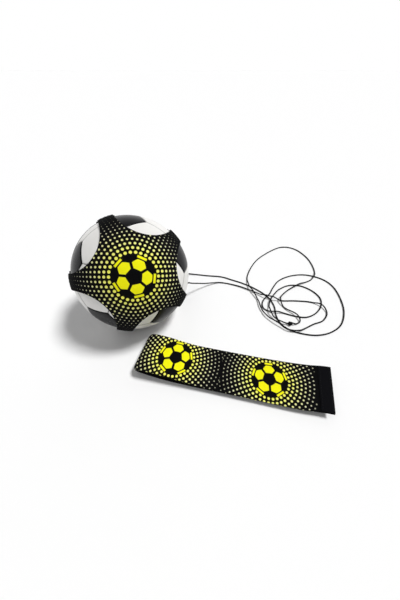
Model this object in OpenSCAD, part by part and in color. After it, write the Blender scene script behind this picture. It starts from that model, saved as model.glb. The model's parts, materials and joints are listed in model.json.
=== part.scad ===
// Solo football kick trainer: a 32-panel ball held in a five-armed stretch cover,
// a doubled elastic cord that leaves the cover's draw ring, and a folded waist belt.
// +X runs to the right of the ball, +Y away from the viewer, +Z up.
// The origin is the point where the ball stands on the floor.

/* [Ball] */
// Outside diameter of the ball
ball_d = 220; // [200:1:230]
// Thickness of an outer panel
panel_t = 3; // [2:0.5:5]
// Thickness of the cloth lining under the panels
lining_t = 1.6; // [1:0.2:3]
// Wall of the air bladder
bladder_t = 1.2; // [0.8:0.2:3]
// Open width of the seam between two panels
seam_w = 0.6; // [0.3:0.1:1.2]
// Radius of the valve's stem
valve_r = 4.5; // [3:0.5:7]
// Width of the valve's inner flange around its stem
valve_flange = 4; // [2:0.5:6]
// Compass angle of the front black panel's axis
ball_az = -74.5; // [-180:0.5:180]
// Height angle of the front black panel's axis
ball_el = 37; // [0:0.5:90]
// Turn of the panels about that axis
ball_spin = 31.5; // [0:0.5:72]

/* [Cover] */
// Thickness of the stretch fabric
cover_t = 3.5; // [2:0.5:5]
// Width of an arm at its narrowest
arm_w = 29; // [22:1:36]
// Angle from the cover's middle to the bottom of a notch
notch_angle = 37.5; // [32:0.5:44]
// Angle from the cover's middle to the fold line of an arm
root_angle = 60; // [56:1:66]
// Angle from the cover's middle to the cord tunnel at an arm's tip
tunnel_angle = 97; // [93:0.5:104]
// Fabric around the cord in a tunnel
hem_t = 1.6; // [1:0.1:2.5]
// How far a tunnel's corners stand out past the arm on each side
hem_flare = 1.5; // [0:0.5:4]
// Compass angle of the cover's middle
star_az = -68; // [-180:0.5:180]
// Height angle of the cover's middle
star_el = 34; // [0:0.5:90]
// Turn of the first arm about the cover's middle
star_spin = 119.5; // [90:0.5:150]
// Stitches across one arm
arm_stitches = 7; // [3:1:9]

/* [Cord] */
// Diameter of the elastic cord
cord_d = 3; // [2:0.1:3.5]
// Diameter of the knot that joins the two strands
knot_d = 8; // [6:0.5:12]

/* [Belt] */
// Length of the belt as it lies folded in half
belt_len = 347; // [300:1:400]
// Width of the belt
belt_w = 84; // [60:1:110]
// Thickness of the belt fabric
belt_t = 3; // [2:0.5:4]
// Open space between the two halves of the belt
belt_gap = 3; // [2.5:0.1:3.8]
// Length of the loop patch on the upper end
loop_len = 22; // [15:1:60]
// Length of the hook patch inside the lower end
hook_len = 50; // [20:1:80]
// Thickness of a fastener patch
patch_t = 1; // [0.6:0.1:1.6]
// Margin between a fastener patch and the belt's long edges
patch_margin = 1; // [0:0.5:6]
// Place of the fold's middle, along X
belt_x = 20; // [0:1:60]
// Place of the fold's middle, along Y
belt_y = -119; // [-180:1:-100]
// Turn of the belt on the floor
belt_turn = -12.8; // [-30:0.1:0]
// Stitches along one row on a patch
patch_stitches = 16; // [6:1:24]

/* [Thread and clearances] */
// Diameter of the sewing thread
thread_d = 0.6; // [0.4:0.1:1]
// Clearance between layers that lie on each other in one body
layer_gap = 0.1; // [0.05:0.05:0.3]
// Clearance between pieces that move past each other
move_gap = 0.35; // [0.2:0.05:0.6]

/* [Hidden] */
$fn = 96;
sides_5 = 5;
sides_6 = 6;
ball_r = ball_d / 2;
past = 20;

// Angles of the truncated icosahedron, seen from the ball's centre
phi = (1 + sqrt(5)) / 2;
corner_ratio = sqrt(9 * phi + 10) / 2;
pentagon_angle = asin(1 / (2 * sin(180 / sides_5)) / corner_ratio);
hexagon_angle = asin(1 / corner_ratio);
pentagon_ring = atan(2);
hexagon_ring_1 = acos(sqrt((5 + 2 * sqrt(5)) / 15));
hexagon_ring_2 = acos(sqrt((5 - 2 * sqrt(5)) / 15));

// Radii of the ball's layers, from the outside in
panel_r_in = ball_r - panel_t;
lining_r = panel_r_in - layer_gap;
lining_r_in = lining_r - lining_t;
bladder_r = lining_r_in - layer_gap;
bladder_r_in = bladder_r - bladder_t;
valve_ring = 2;

// The cover lies on the ball; its notches are round bars parallel to its own axis
cover_r_in = ball_r + move_gap;
cover_r = cover_r_in + cover_t;
arms = 5;
arm_step = 360 / arms;
notch_in = cover_r * sin(notch_angle);
notch_at = (notch_in - arm_w / 2) / (1 - sin(arm_step / 2));
notch_r = notch_at - notch_in;
root_slit = move_gap / cover_r * 180 / PI;

// The cord tunnels lie on one ring about the cover's axis
cord_r = cord_d / 2;
tunnel_bore = cord_r + move_gap;
tunnel_r = tunnel_bore + hem_t;
tunnel_out = cover_r_in + tunnel_r + layer_gap;
ring_r = tunnel_out * sin(tunnel_angle);
ring_z = tunnel_out * cos(tunnel_angle);
tunnel_half = asin((arm_w / 2 + hem_flare) / ring_r);
ring_exit = tunnel_half + 2;
stitch_angle = tunnel_angle - (tunnel_r + 2 * thread_d) / cover_r * 180 / PI;
stitch_r = cover_r + layer_gap + thread_d / 2;

// The two halves of the belt and the half-round fold between them
fold_r = belt_t + belt_gap / 2;
upper_z = belt_t + belt_gap;
belt_top = upper_z + belt_t;
patch_w = belt_w - 2 * patch_margin;
stitch_inset = 3;

// Route of the strands: [x, y, lowest height of the cord's underside]
strand_a_route = [
    [95, 80, 100], [92, 90, 75], [88, 102, 50], [86, 115, 28], [88, 127, 12], [99, 133, 3],
    [122, 132, 0], [152, 127, 0], [190, 122, 0], [216, 110, 0], [245, 95, 0], [270, 77, 0], [291, 56, 0],
    [303, 36, 0], [308, 12, 0], [306, -15, 0], [310, -38, 0], [325, -56, 0],
    [350, -67, 0], [381, -71, 0], [413, -63, 0], [443, -42, 0], [465, -5, 0], [475, 37, 0],
    [475, 81, 0], [458, 112, 0], [420, 130, 0], [378, 126, 0], [341, 106, 0], [318, 76, 0],
    [303, 50, 0], [285, 31, 0], [281, 9, 0], [296, -5, 0], [322, -8, 0], [349, -18, 0],
    [374, -21, 0], [400, -8, 0], [420, 16, 0], [426, 42, 0], [415, 67, 0], [392, 85, 0],
    [362, 87, 0], [333, 71, 0], [314, 48, 0], [298, 22, 0], [294, -6, 0], [302, -28, 0],
    [315, -38, 0], [326, -41, 3]];
strand_b_route = [
    [106, 30, 58], [113, 44, 45], [126, 62, 29], [145, 80, 13], [167, 94, 3],
    [191, 98, 0], [232, 84, 0], [265, 64, 0], [294, 43, 0], [326, 32, 0], [363, 31, 0],
    [398, 27, 0], [420, 14, 0], [424, -9, 0], [407, -31, 0], [383, -41, 0], [364, -51, 0],
    [345, -61, 0], [323, -59, 0], [303, -41, 0], [284, -20, 0], [275, 5, 0], [273, 32, 0],
    [267, 55, 0], [258, 86, 0], [262, 130, 0], [295, 194, 0], [344, 242, 0], [390, 268, 0],
    [428, 254, 0], [450, 205, 0], [449, 146, 0], [430, 112, 0], [394, 92, 0], [352, 66, 0],
    [327, 36, 0], [331, 8, 0], [350, -12, 0], [355, -32, 0], [344, -41, 0], [334, -42, 3]];
knot_at = [330, -42];
route_steps = 2;
tube_sides = 6;
crossing_lift = cord_d + 1.4;
crossing_reach = 16;
own_reach = 45;
mean_step = 15;
own_skip = floor(own_reach / mean_step);
gap_points = 4;
frame_ref = [0.5, 0, 0.87];
knot_tilt = [70, 0, 40];

// Places and turns

module at_ball() {
    translate([0, 0, ball_r]) rotate([0, 90 - ball_el, ball_az]) rotate([0, 0, ball_spin]) children();
}

module at_star() {
    translate([0, 0, ball_r]) rotate([0, 90 - star_el, star_az]) children();
}

module at_arm(index) {
    at_star() rotate([0, 0, arm_turn(index)]) children();
}

module at_belt() {
    translate([belt_x, belt_y, 0]) rotate([0, 0, belt_turn]) children();
}

function arm_turn(index) = star_spin + arm_step * (index - 1);

// Ball

module shell(outer, inner) {
    difference() {
        sphere(r = outer);
        sphere(r = inner);
    }
}

// One panel: a piece of the outer shell inside a pyramid whose point is the ball's centre
module panel(polar, turn, sides, corner_angle, spin) {
    lift = seam_w / 2 / sin(atan(tan(corner_angle) * cos(180 / sides)));
    height = ball_r + past;
    rotate([0, polar, turn]) rotate([0, 0, spin]) intersection() {
        shell(ball_r, panel_r_in);
        translate([0, 0, lift])
            cylinder(h = height, r1 = 0, r2 = height * tan(corner_angle), $fn = sides);
    }
}

module pentagon(polar, turn, spin) {
    panel(polar, turn, sides_5, pentagon_angle, spin);
}

module hexagon(polar, turn) {
    panel(polar, turn, sides_6, hexagon_angle, 30);
}

// Turns the valve's own axis to the middle of a white panel high on the ball's back
module at_valve() {
    rotate([0, 180 - hexagon_ring_2, arm_step * valve_ring]) children();
}

module valve_hole() {
    at_valve() cylinder(r = valve_r + layer_gap, h = ball_r + past);
}

module ball_pentagon_panels() {
    color("black") at_ball() {
        pentagon(0, 0, 0);
        pentagon(180, 180 / sides_5, 180);
        for (k = [0 : sides_5 - 1]) {
            pentagon(pentagon_ring, 72 * k, 180);
            pentagon(180 - pentagon_ring, 72 * k + 36, 0);
        }
    }
}

module ball_hexagon_panels() {
    color("white") at_ball() difference() {
        for (k = [0 : sides_5 - 1]) {
            hexagon(hexagon_ring_1, 72 * k + 36);
            hexagon(hexagon_ring_2, 72 * k + 36);
            hexagon(180 - hexagon_ring_2, 72 * k);
            hexagon(180 - hexagon_ring_1, 72 * k);
        }
        valve_hole();
    }
}

module ball_lining() {
    color("beige") at_ball() difference() {
        shell(lining_r, lining_r_in);
        valve_hole();
    }
}

module ball_bladder() {
    color("dimgray") at_ball() difference() {
        shell(bladder_r, bladder_r_in);
        valve_hole();
    }
}

module ball_valve() {
    top = ball_r - panel_t / 3;
    flange_top = bladder_r_in - layer_gap;
    color("whitesmoke") at_ball() at_valve() {
        difference() {
            translate([0, 0, flange_top - bladder_t]) cylinder(r = valve_r, h = top - flange_top + bladder_t);
            translate([0, 0, ball_r - panel_t / 6]) sphere(r = panel_t / 2);
        }
        intersection() {
            shell(flange_top, flange_top - bladder_t);
            cylinder(r = valve_r + valve_flange, h = ball_r);
        }
    }
}

// Cover

module notches() {
    for (k = [1 : arms]) {
        rotate([0, 0, arm_turn(k) + arm_step / 2]) translate([notch_at, 0, -ball_r])
            cylinder(r = notch_r, h = 2 * ball_r + 2 * past);
    }
}

// A wedge on one arm's middle plane, between two angles from the cover's axis
module arm_wedge(from, to) {
    reach = ball_r + past;
    rotate([90, 0, 0]) linear_extrude(height = 2 * arm_w, center = true)
        polygon([[0, 0], reach * [sin(from), cos(from)], reach * [sin(to), cos(to)]]);
}

module cover_star() {
    color("black") at_star() difference() {
        shell(cover_r, cover_r_in);
        notches();
        for (k = [1 : arms]) {
            rotate([0, 0, arm_turn(k)]) arm_wedge(root_angle - root_slit / 2, tunnel_angle);
        }
        translate([0, 0, -cover_r - past]) cylinder(r = cover_r + past, h = cover_r + past);
    }
}

module ring_piece(radius, from, to) {
    rotate([0, 0, from]) rotate_extrude(angle = to - from) translate([ring_r, ring_z]) circle(r = radius);
}

module cover_arm(index) {
    color("black") at_star() difference() {
        union() {
            difference() {
                intersection() {
                    shell(cover_r, cover_r_in);
                    rotate([0, 0, arm_turn(index)]) arm_wedge(root_angle + root_slit / 2, tunnel_angle);
                }
                notches();
            }
            ring_piece(tunnel_r, arm_turn(index) - tunnel_half, arm_turn(index) + tunnel_half);
        }
        ring_piece(tunnel_bore, arm_turn(index) - 2 * tunnel_half, arm_turn(index) + 2 * tunnel_half);
    }
}

// A row of short thread lengths across the arm, just above its tunnel
module arm_stitching(index) {
    row_half = asin((arm_w / 2 - stitch_inset) / cover_r);
    pitch = 2 * row_half / arm_stitches;
    color("dimgray") at_arm(index) {
        for (k = [0 : arm_stitches - 1]) {
            rotate([0, 0, -row_half + pitch * (k + 0.2)]) rotate_extrude(angle = pitch * 0.6)
                translate([stitch_r * sin(stitch_angle), stitch_r * cos(stitch_angle)])
                    circle(d = thread_d, $fn = 24);
        }
    }
}

// Cord

// The cord in the tunnels, open between the last arm and the first
module draw_cord() {
    color("black") at_star()
        ring_piece(cord_r, arm_turn(1) - ring_exit, arm_turn(arms) + ring_exit);
}

function turn_y(v, a) = [v.x * cos(a) + v.z * sin(a), v.y, v.z * cos(a) - v.x * sin(a)];
function turn_z(v, a) = [v.x * cos(a) - v.y * sin(a), v.x * sin(a) + v.y * cos(a), v.z];
function from_star(v) = turn_z(turn_y(v, 90 - star_el), star_az) + [0, 0, ball_r];
function ring_point(turn) = from_star([ring_r * cos(turn), ring_r * sin(turn), ring_z]);
function ring_way(turn) = ring_point(turn + 90) - from_star([0, 0, ring_z]);

// The strand's start: the draw ring's end, and a point straight on from it
function strand_start(turn, side) =
    let (way = side * ring_way(turn) / ring_r, end = ring_point(turn))
    [end, end + 2.5 * cord_d * way];

function lifted(route) = [for (p = route) p + [0, 0, cord_r]];

// A smooth curve through the route's points
function curve_point(a, b, c, d, t) =
    0.5 * (2 * b + (c - a) * t + (2 * a - 5 * b + 4 * c - d) * t * t + (3 * b - a - 3 * c + d) * t * t * t);
function smooth(p) =
    let (last = len(p) - 1)
    concat([for (i = [0 : last - 1]) for (s = [0 : route_steps - 1])
        curve_point(p[max(i - 1, 0)], p[i], p[i + 1], p[min(i + 2, last)], s / route_steps)], [p[last]]);

// How high a point has to lie to pass over the stretch from a to b
function share_along(p, a, b) =
    let (ab = b - a)
    min(1, max(0, ((p - a) * ab) / (ab * ab)));
function flat(p) = [p.x, p.y];
function rise_over(p, a, b) =
    let (s = share_along(flat(p), flat(a), flat(b)), q = a + s * (b - a), d = norm(flat(p) - flat(q)))
    (q.z + crossing_lift) * exp(-pow(d / crossing_reach, 2));

// Lays the points one after another, each above what already lies under it
function rise(p, below) =
    max([cord_r, p.z, for (line = below) for (i = [0 : 1 : len(line) - 2]) rise_over(p, line[i], line[i + 1])]);
function own_below(done) = [for (i = [0 : 1 : len(done) - 1 - own_skip]) done[i]];
function lay(points, below, done = []) =
    len(done) == len(points) ? done :
    let (p = points[len(done)], z = rise(p, concat(below, [own_below(done)])))
    lay(points, below, concat(done, [[p.x, p.y, z]]));

function line_length(p) = line_sum(p, 0, 0);
function line_sum(p, i, total) =
    i == len(p) - 1 ? total : line_sum(p, i + 1, total + norm(p[i + 1] - p[i]));

// Least distance between two straight stretches, found on points along them
function stretch_gap(a, b, c, d) =
    min([for (i = [0 : gap_points])
        let (p = a + i / gap_points * (b - a), ab = d - c,
            s = min(1, max(0, ((p - c) * ab) / (ab * ab))))
        norm(p - c - s * ab)]);
function own_gap(p) =
    min([for (i = [0 : 1 : len(p) - 2]) for (j = [i + own_skip : 1 : len(p) - 2])
        stretch_gap(p[i], p[i + 1], p[j], p[j + 1])]) - cord_d;
function pair_gap(p, q) =
    min([for (i = [0 : len(p) - 3]) for (j = [0 : len(q) - 3])
        stretch_gap(p[i], p[i + 1], q[j], q[j + 1])]) - cord_d;

strand_a_points = concat(strand_start(arm_turn(1) - ring_exit, -1), lifted(strand_a_route));
strand_b_points = concat(strand_start(arm_turn(arms) + ring_exit, 1), lifted(strand_b_route));
strand_a_line = lay(smooth(strand_a_points), []);
strand_b_line = lay(smooth(strand_b_points), [strand_a_line]);

// A tube swept along a line of points, closed at both ends
module tube(line) {
    n = len(line);
    function way(i) = line[min(i + 1, n - 1)] - line[max(i - 1, 0)];
    function corner(i, k) =
        let (t = way(i) / norm(way(i)), side = cross(t, frame_ref), u = side / norm(side), v = cross(u, t))
        line[i] + cord_r * (cos(360 * k / tube_sides) * u + sin(360 * k / tube_sides) * v);
    function at(i, k) = i * tube_sides + k % tube_sides;
    points = [for (i = [0 : n - 1]) for (k = [0 : tube_sides - 1]) corner(i, k)];
    walls = [for (i = [0 : n - 2]) for (k = [0 : tube_sides - 1]) for (half = [0, 1])
        half == 0 ? [at(i, k), at(i + 1, k), at(i + 1, k + 1)] : [at(i, k), at(i + 1, k + 1), at(i, k + 1)]];
    first_end = [for (k = [1 : tube_sides - 2]) [at(0, 0), at(0, k), at(0, k + 1)]];
    last_end = [for (k = [1 : tube_sides - 2]) [at(n - 1, 0), at(n - 1, k + 1), at(n - 1, k)]];
    polyhedron(points = points, faces = concat(walls, first_end, last_end));
}

module cord_strand_a() {
    echo(strand_a_length = line_length(strand_a_line), least_gap = own_gap(strand_a_line));
    color("black") tube(strand_a_line);
}

module cord_strand_b() {
    echo(strand_b_length = line_length(strand_b_line), least_gap = own_gap(strand_b_line),
        gap_to_strand_a = pair_gap(strand_b_line, strand_a_line));
    color("black") tube(strand_b_line);
}

module cord_knot() {
    color("black") translate([knot_at.x, knot_at.y, (knot_d + cord_r) / 2]) {
        sphere(d = knot_d);
        rotate(knot_tilt) rotate_extrude() translate([knot_d / 2 - cord_r / 2, 0]) circle(r = cord_r);
    }
}

// Belt

module belt_strip(from, z) {
    translate([from, -belt_w / 2, z]) cube([belt_len - from, belt_w, belt_t]);
}

module belt_lower() {
    color("black") at_belt() belt_strip(fold_r, 0);
}

module belt_upper() {
    color("black") at_belt() belt_strip(fold_r + move_gap, upper_z);
}

module belt_fold() {
    color("black") at_belt() translate([fold_r, 0, fold_r]) rotate([90, 0, 0])
        linear_extrude(height = belt_w, center = true) difference() {
            circle(r = fold_r);
            circle(r = belt_gap / 2);
            translate([0, -2 * fold_r]) square(4 * fold_r);
        }
}

module patch(length, z) {
    translate([belt_len - length, -patch_w / 2, z]) cube([length, patch_w, patch_t]);
}

module belt_hook_patch() {
    color("black") at_belt() patch(hook_len, belt_t);
}

module belt_loop_patch() {
    color("black") at_belt() patch(loop_len, belt_top);
}

// Two rows of short thread lengths across a patch, near its two ends
module patch_stitching(length, z) {
    pitch = (patch_w - 2 * stitch_inset) / patch_stitches;
    for (u = [belt_len - length + stitch_inset, belt_len - stitch_inset]) {
        for (k = [0 : patch_stitches - 1]) {
            translate([u, -patch_w / 2 + stitch_inset + pitch * (k + 0.2), z + thread_d / 2])
                rotate([-90, 0, 0]) cylinder(d = thread_d, h = pitch * 0.6, $fn = 24);
        }
    }
}

module hook_stitching() {
    color("dimgray") at_belt() patch_stitching(hook_len, belt_t + patch_t);
}

module loop_stitching() {
    color("dimgray") at_belt() patch_stitching(loop_len, belt_top + patch_t);
}

ball_bladder();
ball_lining();
ball_pentagon_panels();
ball_hexagon_panels();
ball_valve();
cover_star();
cover_arm(1);  // cover_arm_1
cover_arm(2);  // cover_arm_2
cover_arm(3);  // cover_arm_3
cover_arm(4);  // cover_arm_4
cover_arm(5);  // cover_arm_5
arm_stitching(1);  // arm_stitching_1
arm_stitching(2);  // arm_stitching_2
arm_stitching(3);  // arm_stitching_3
arm_stitching(4);  // arm_stitching_4
arm_stitching(5);  // arm_stitching_5
draw_cord();
cord_strand_a();
cord_strand_b();
cord_knot();
belt_lower();
belt_fold();
belt_upper();
belt_hook_patch();
belt_loop_patch();
hook_stitching();
loop_stitching();
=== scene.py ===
# Solo football kick trainer: a ball in a printed star cover, a doubled elastic cord and a folded waist belt
import json
from math import acos, asin, atan2, cos, degrees, exp, pi, radians, sin, sqrt, tan

import bmesh
import bpy
from mathutils import Matrix, Vector, noise


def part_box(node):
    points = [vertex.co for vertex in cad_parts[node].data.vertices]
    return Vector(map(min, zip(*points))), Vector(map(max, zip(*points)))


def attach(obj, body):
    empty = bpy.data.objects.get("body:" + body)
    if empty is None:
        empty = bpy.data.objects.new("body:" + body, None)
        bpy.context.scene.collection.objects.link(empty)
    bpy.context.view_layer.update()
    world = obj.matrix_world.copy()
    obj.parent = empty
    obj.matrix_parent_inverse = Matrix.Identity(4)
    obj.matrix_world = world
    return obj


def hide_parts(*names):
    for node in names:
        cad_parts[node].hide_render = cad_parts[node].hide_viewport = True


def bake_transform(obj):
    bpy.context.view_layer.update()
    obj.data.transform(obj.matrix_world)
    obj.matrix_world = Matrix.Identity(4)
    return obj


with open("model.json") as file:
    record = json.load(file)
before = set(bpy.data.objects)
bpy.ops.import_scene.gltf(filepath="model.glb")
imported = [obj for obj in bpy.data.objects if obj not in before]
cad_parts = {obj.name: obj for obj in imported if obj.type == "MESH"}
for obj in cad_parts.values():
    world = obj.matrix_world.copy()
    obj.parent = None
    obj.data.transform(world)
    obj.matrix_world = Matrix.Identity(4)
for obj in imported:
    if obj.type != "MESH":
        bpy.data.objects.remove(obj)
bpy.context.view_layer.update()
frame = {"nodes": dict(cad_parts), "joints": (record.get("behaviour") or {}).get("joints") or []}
hinge = {joint["name"]: joint for joint in frame["joints"]}
up = Vector((0, 0, 1))
perMetre = 1000  # millimetres
mapUnits = 10  # units of a print's map to a metre
print("frame loaded:", len(frame["nodes"]), "nodes")


# Meshes

def newPiece(name, points, faces, coords=None, layer="print", sharp=40):
    mesh = bpy.data.meshes.new(name)
    mesh.from_pydata(points, [], faces)
    mesh.validate()
    if coords:
        uvMap = mesh.uv_layers.new(name=layer)
        for loop in mesh.loops:
            uvMap.uv[loop.index].vector = coords[loop.vertex_index]
    return placePiece(name, mesh, sharp)


# Edges sharper than this many degrees stay crisp
def placePiece(name, mesh, sharp):
    mesh.shade_smooth()
    mesh.set_sharp_from_angle(angle=radians(sharp))
    piece = bpy.data.objects.new(name, mesh)
    bpy.context.scene.collection.objects.link(piece)
    return piece


def dress(piece, slot, *finishes):
    for finish in finishes:
        piece.data.materials.append(finish)


def gridFaces(rows, columns, first=0, closed=False):
    faces = []
    for i in range(rows - 1):
        for j in range(columns if closed else columns - 1):
            a, b = i * columns + j, i * columns + (j + 1) % columns
            faces.append((first + a, first + b, first + b + columns, first + a + columns))
    return faces


def flipped(faces):
    return [tuple(reversed(face)) for face in faces]


# A closed layer of cloth: outside, inside, and rounded edges everywhere but along the cut points.
# With coordinates for the inside's rim, the print goes on over the edges that lie past its start
def clothPiece(name, outside, inside, faces, coords, cutPoints, edgeRound, rimCoords=None):
    printed, plain, edgeMark = 0, 1, 2
    edgeUse = {}
    for face in faces:
        for a, b in zip(face, face[1:] + face[:1]):
            edgeUse.setdefault(frozenset((a, b)), []).append((a, b))
    rim = [uses[0] for uses in edgeUse.values() if len(uses) == 1]
    shape = bmesh.new()
    uvMap = shape.loops.layers.uv.new("print")
    top = [shape.verts.new(point) for point in outside]
    bottom = [shape.verts.new(point) for point in inside]
    coordsOf = dict(zip(top + bottom, coords + (rimCoords or coords)))
    for face in faces:
        shape.faces.new([top[i] for i in face]).material_index = printed
        shape.faces.new([bottom[i] for i in reversed(face)]).material_index = plain
    rounded = []
    for a, b in rim:
        wall = shape.faces.new((top[b], top[a], bottom[a], bottom[b]))
        wall.material_index = edgeMark
        if not (a in cutPoints and b in cutPoints):
            rounded += [shape.edges.get((top[a], top[b])), shape.edges.get((bottom[a], bottom[b]))]
    for face in shape.faces:
        for loop in face.loops:
            loop[uvMap].uv = coordsOf[loop.vert]
    bmesh.ops.bevel(shape, geom=rounded, offset=edgeRound, segments=3, profile=0.5, affect="EDGES",
                    clamp_overlap=True, loop_slide=True, material=edgeMark)
    for face in shape.faces:
        if face.material_index == edgeMark:
            pastStart = min(loop[uvMap].uv.x for loop in face.loops) > 0
            face.material_index = printed if rimCoords and pastStart else plain
    mesh = bpy.data.meshes.new(name)
    shape.to_mesh(mesh)
    shape.free()
    return placePiece(name, mesh, 50)


# Rings round a line of points, each square to the line
def tubeRings(line, radii, sides):
    last = len(line) - 1
    aims = [(line[min(i + 1, last)] - line[max(i - 1, 0)]).normalized() for i in range(len(line))]
    side = aims[0].orthogonal().normalized()
    turns = [2 * pi * k / sides for k in range(sides)]
    rings = []
    for point, aim, radius in zip(line, aims, radii):
        side = (side - side.dot(aim) * aim).normalized()
        other = aim.cross(side)
        rings.append([point + radius * (cos(turn) * side + sin(turn) * other) for turn in turns])
    return rings


# A round tube with domed ends; its map holds turns round it and millimetres along it
def tubePiece(name, line, radius, sides, dome=True):
    domeHeight = radius / 2 if dome else 0
    along = [0.0]
    for a, b in zip(line, line[1:]):
        along.append(along[-1] + (b - a).length)
    points, coords = [], []
    for ring, distance in zip(tubeRings(line, [radius] * len(line), sides), along):
        points += ring
        coords += [(k / sides, distance * perMetre) for k in range(sides)]
    faces = gridFaces(len(line), sides, closed=True)
    for row, way in ((0, line[0] - line[1]), (len(line) - 1, line[-1] - line[-2])):
        tip = len(points)
        points.append(line[row] + way.normalized() * domeHeight)
        coords.append((0.5, along[row] * perMetre))
        for k in range(sides):
            a, b = row * sides + k, row * sides + (k + 1) % sides
            faces.append((b, a, tip) if row == 0 else (a, b, tip))
    return newPiece(name, points, faces, coords, "braid", 70)


# A short rod with flat ends, added to a piece of many
def addRod(points, faces, line, radii, sides):
    first = len(points)
    for ring in tubeRings(line, radii, sides):
        points += ring
    faces += gridFaces(len(line), sides, first, True)
    last = len(points) - sides
    faces.append(tuple(reversed(range(first, first + sides))))
    faces.append(tuple(range(last, last + sides)))


def smoothLine(points, steps):
    last = len(points) - 1
    line = []
    for i in range(last):
        a, b = points[max(i - 1, 0)], points[i]
        c, d = points[i + 1], points[min(i + 2, last)]
        for s in range(steps):
            t = s / steps
            line.append(0.5 * (2 * b + (c - a) * t + (2 * a - 5 * b + 4 * c - d) * t * t
                               + (3 * b - a - 3 * c + d) * t * t * t))
    return line + [points[last]]


def ease(share):
    share = min(1.0, max(0.0, share))
    return share * share * (3 - 2 * share)


def lineLength(line):
    return sum((b - a).length for a, b in zip(line, line[1:]))


# Thread

threadForm = {
    "radius": 0.0003,
    "steps": 7,
    "sides": 6,
    "inset": 0.003,  # from the ends of a row to the edges of the cloth
    "stitch": (0.15, 0.7),  # where a stitch starts in its pitch, and how long it is
    "armCount": 7,
    "armGap": 0.0012,  # from the hem to the stitches
    "armSink": 0.0004,
    "patchCount": 16,
    "patchSink": 0.0003,
}


# Each stitch rises out of the cloth and dips back into it
def stitchRow(name, ends, sink):
    radius, steps = threadForm["radius"], threadForm["steps"]
    points, faces = [], []
    for start, stop, out in ends:
        line = []
        for i in range(steps):
            share = i / (steps - 1)
            rise = sin(pi * share) ** 0.5 * (radius + sink) - sink
            line.append(start.lerp(stop, share) + out * rise)
        addRod(points, faces, line, [radius] * steps, threadForm["sides"])
    return newPiece(name, points, faces, sharp=60)


# Finishes

class Wire:
    # a shader socket that takes part in Python sums
    def __init__(self, nodes, socket):
        self.nodes = nodes
        self.socket = socket

    def use(self, operation, *values):
        return self.nodes.node("ShaderNodeMath", {"operation": operation}, (self, *values))

    def after(self, operation, value):
        return self.nodes.node("ShaderNodeMath", {"operation": operation}, (value, self))

    def clamp(self):
        return self.nodes.node("ShaderNodeClamp", {}, (self, 0.0, 1.0))

    def part(self, index):
        return self.nodes.node("ShaderNodeSeparateXYZ", {}, (self,), index)

    def __add__(self, other):
        return self.use("ADD", other)

    def __sub__(self, other):
        return self.use("SUBTRACT", other)

    def __mul__(self, other):
        return self.use("MULTIPLY", other)

    def __truediv__(self, other):
        return self.use("DIVIDE", other)

    def __mod__(self, other):
        return self.use("FLOORED_MODULO", other)

    def __radd__(self, other):
        return self.after("ADD", other)

    def __rsub__(self, other):
        return self.after("SUBTRACT", other)

    def __rmul__(self, other):
        return self.after("MULTIPLY", other)

    def __rtruediv__(self, other):
        return self.after("DIVIDE", other)


class Nodes:
    # the node tree of a material or a world
    def __init__(self, owner, outputKind):
        owner.use_nodes = True
        self.tree = owner.node_tree
        self.tree.nodes.clear()
        self.output = self.tree.nodes.new(outputKind)

    def plug(self, socket, value):
        if isinstance(value, Wire):
            self.tree.links.new(value.socket, socket)
        else:
            socket.default_value = value

    def node(self, kind, settings, inputs, output=0):
        made = self.tree.nodes.new(kind)
        for key, value in settings.items():
            setattr(made, key, value)
        for key, value in inputs.items() if isinstance(inputs, dict) else enumerate(inputs):
            self.plug(made.inputs[key], value)
        return Wire(self, made.outputs[output])

    def show(self, wire):
        self.plug(self.output.inputs[0], wire)


class Finish(Nodes):
    # a material built round one Principled shader; constants go straight onto its sockets
    def __init__(self, name, **constants):
        self.material = bpy.data.materials.new(name)
        super().__init__(self.material, "ShaderNodeOutputMaterial")
        self.shader = self.tree.nodes.new("ShaderNodeBsdfPrincipled")
        self.show(Wire(self, self.shader.outputs[0]))
        for socket, value in constants.items():
            self.drive(socket.replace("_", " "), value)

    def drive(self, socket, value):
        self.plug(self.shader.inputs[socket], value)

    def coords(self):
        return self.node("ShaderNodeTexCoord", {}, {}, "Object")

    def mapped(self, layer):
        uv = self.node("ShaderNodeUVMap", {"uv_map": layer}, {})
        return uv.part(0), uv.part(1)

    def grain(self, scale, detail=2.0):
        sockets = {"Vector": self.coords(), "Scale": scale, "Detail": detail}
        return self.node("ShaderNodeTexNoise", {}, sockets)

    def cells(self, scale):
        return self.node("ShaderNodeTexVoronoi", {"feature": "F1"}, {"Vector": self.coords(), "Scale": scale})

    def bands(self, scale, distortion=0.0):
        settings = {"wave_type": "BANDS", "bands_direction": "DIAGONAL"}
        sockets = {"Vector": self.coords(), "Scale": scale, "Distortion": distortion}
        return self.node("ShaderNodeTexWave", settings, sockets, 1)

    def mix(self, factor, first, second):
        return self.node("ShaderNodeMix", {"data_type": "RGBA"}, {0: factor, 6: first, 7: second}, 2)

    def paint(self, factor, first, second):
        self.drive("Base Color", self.mix(factor, first, second))

    def relief(self, height, depth, strength):
        bump = self.node("ShaderNodeBump", {}, {"Height": height, "Distance": depth, "Strength": strength})
        self.drive("Normal", bump)


# The star's own directions, from the five arm hinges
armNumbers = range(1, 6)
armStep = 360 / len(armNumbers)
ballLow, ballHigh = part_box("ball_lining")
ballMiddle = (ballLow + ballHigh) / 2
hingePoints = [Vector(hinge[f"arm_{k}_lift"]["pos_m"]) for k in armNumbers]
starAxis = (sum(hingePoints, Vector()) / len(hingePoints) - ballMiddle).normalized()
starAim = hingePoints[0] - ballMiddle
starAim = (starAim - starAim.dot(starAxis) * starAxis).normalized()
starSide = starAxis.cross(starAim)


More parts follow.
